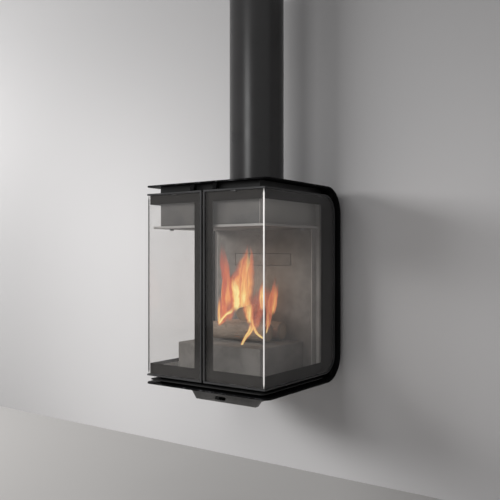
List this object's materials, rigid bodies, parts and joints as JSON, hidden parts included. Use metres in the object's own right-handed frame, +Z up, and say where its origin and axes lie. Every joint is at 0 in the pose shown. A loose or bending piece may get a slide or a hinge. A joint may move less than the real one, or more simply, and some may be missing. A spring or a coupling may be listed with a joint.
{
  "type": "wall-mounted wood stove",
  "caption": "Wall-mounted wood stove with two L-shaped glass doors, a black C-shaped steel band, raised hearth and insulated flue.",
  "frame": {"origin": "centre of the wall bracket bolt pattern, on the wall plane", "axes": "+X right, -Y out of the wall towards the room, +Z up"},
  "size_m": [0.526, 0.492, 1.509],
  "materials": {
    "black_paint": "matt black stove paint",
    "flue_paint": "matt black flue paint, slightly lighter",
    "grey_paint": "matt dark grey paint",
    "trim_paint": "satin dark grey edge trim",
    "dark_steel": "black heat-proof paint",
    "warm_steel": "heat-browned grey steel",
    "bare_steel": "bare steel sheet",
    "zinc": "zinc-plated",
    "clip_steel": "blackened steel clips and catch plates",
    "cast": "rough grey casting",
    "fire_clay": "moulded fire-clay, grey-beige",
    "wool": "mineral wool",
    "rope": "glass-fibre rope",
    "bark": "split firewood with bark",
    "glass": "clear ceramic glass",
    "enamel": "fired dark grey enamel print"
  },
  "bodies": {
    "stove": {"casing_band": "black_paint", "wall_bracket": "dark_steel", "hanging_bolts": "zinc", "smoke_box": "warm_steel", "top_seal_plate": "dark_steel", "baffle_plate": "warm_steel", "baffle_studs": "zinc", "flue_spigot": "bare_steel", "flue_liner": "bare_steel", "flue_insulation": "wool", "flue_casing": "flue_paint", "flue_end_ring": "dark_steel", "back_casing": "dark_steel", "back_lining": "fire_clay", "lining_plate": "fire_clay", "side_jambs": "dark_steel", "centre_post": "dark_steel", "floor_plate": "warm_steel", "floor_frame": "dark_steel", "sill_plate": "dark_steel", "base_frame": "dark_steel", "hearth_box": "fire_clay", "grate": "cast", "ash_pan": "bare_steel", "firewood": "bark", "air_front_sheet": "grey_paint", "air_box": "grey_paint", "port_plate": "dark_steel", "air_inlet": "grey_paint", "pivot_bearings": "black_paint", "catch_magnets": "dark_steel"},
    "right_door": {"right_trim": "trim_paint", "right_front_glass": "glass", "right_side_glass": "glass", "right_enamel": "enamel", "right_frame": "dark_steel", "right_gasket": "rope", "right_clips": "clip_steel", "right_pivots": "black_paint", "right_catch": "clip_steel"},
    "left_door": {"left_trim": "trim_paint", "left_front_glass": "glass", "left_side_glass": "glass", "left_enamel": "enamel", "left_frame": "dark_steel", "left_gasket": "rope", "left_clips": "clip_steel", "left_pivots": "black_paint", "left_catch": "clip_steel"},
    "air_control": {"air_shutter": "bare_steel"}
  },
  "joints": [
    {"name": "right_door_hinge", "type": "hinge", "parent": "stove", "child": "right_door", "pos_m": [0.2465, -0.06, 0], "axis": [0, 0, 1], "range_deg": [0, 90]},
    {"name": "left_door_hinge", "type": "hinge", "parent": "stove", "child": "left_door", "pos_m": [-0.2465, -0.06, 0], "axis": [0, 0, -1], "range_deg": [0, 90]},
    {"name": "air_lever_slide", "type": "slide", "parent": "stove", "child": "air_control", "axis": [1, 0, 0], "range_m": [0, 0.027]}
  ]
}
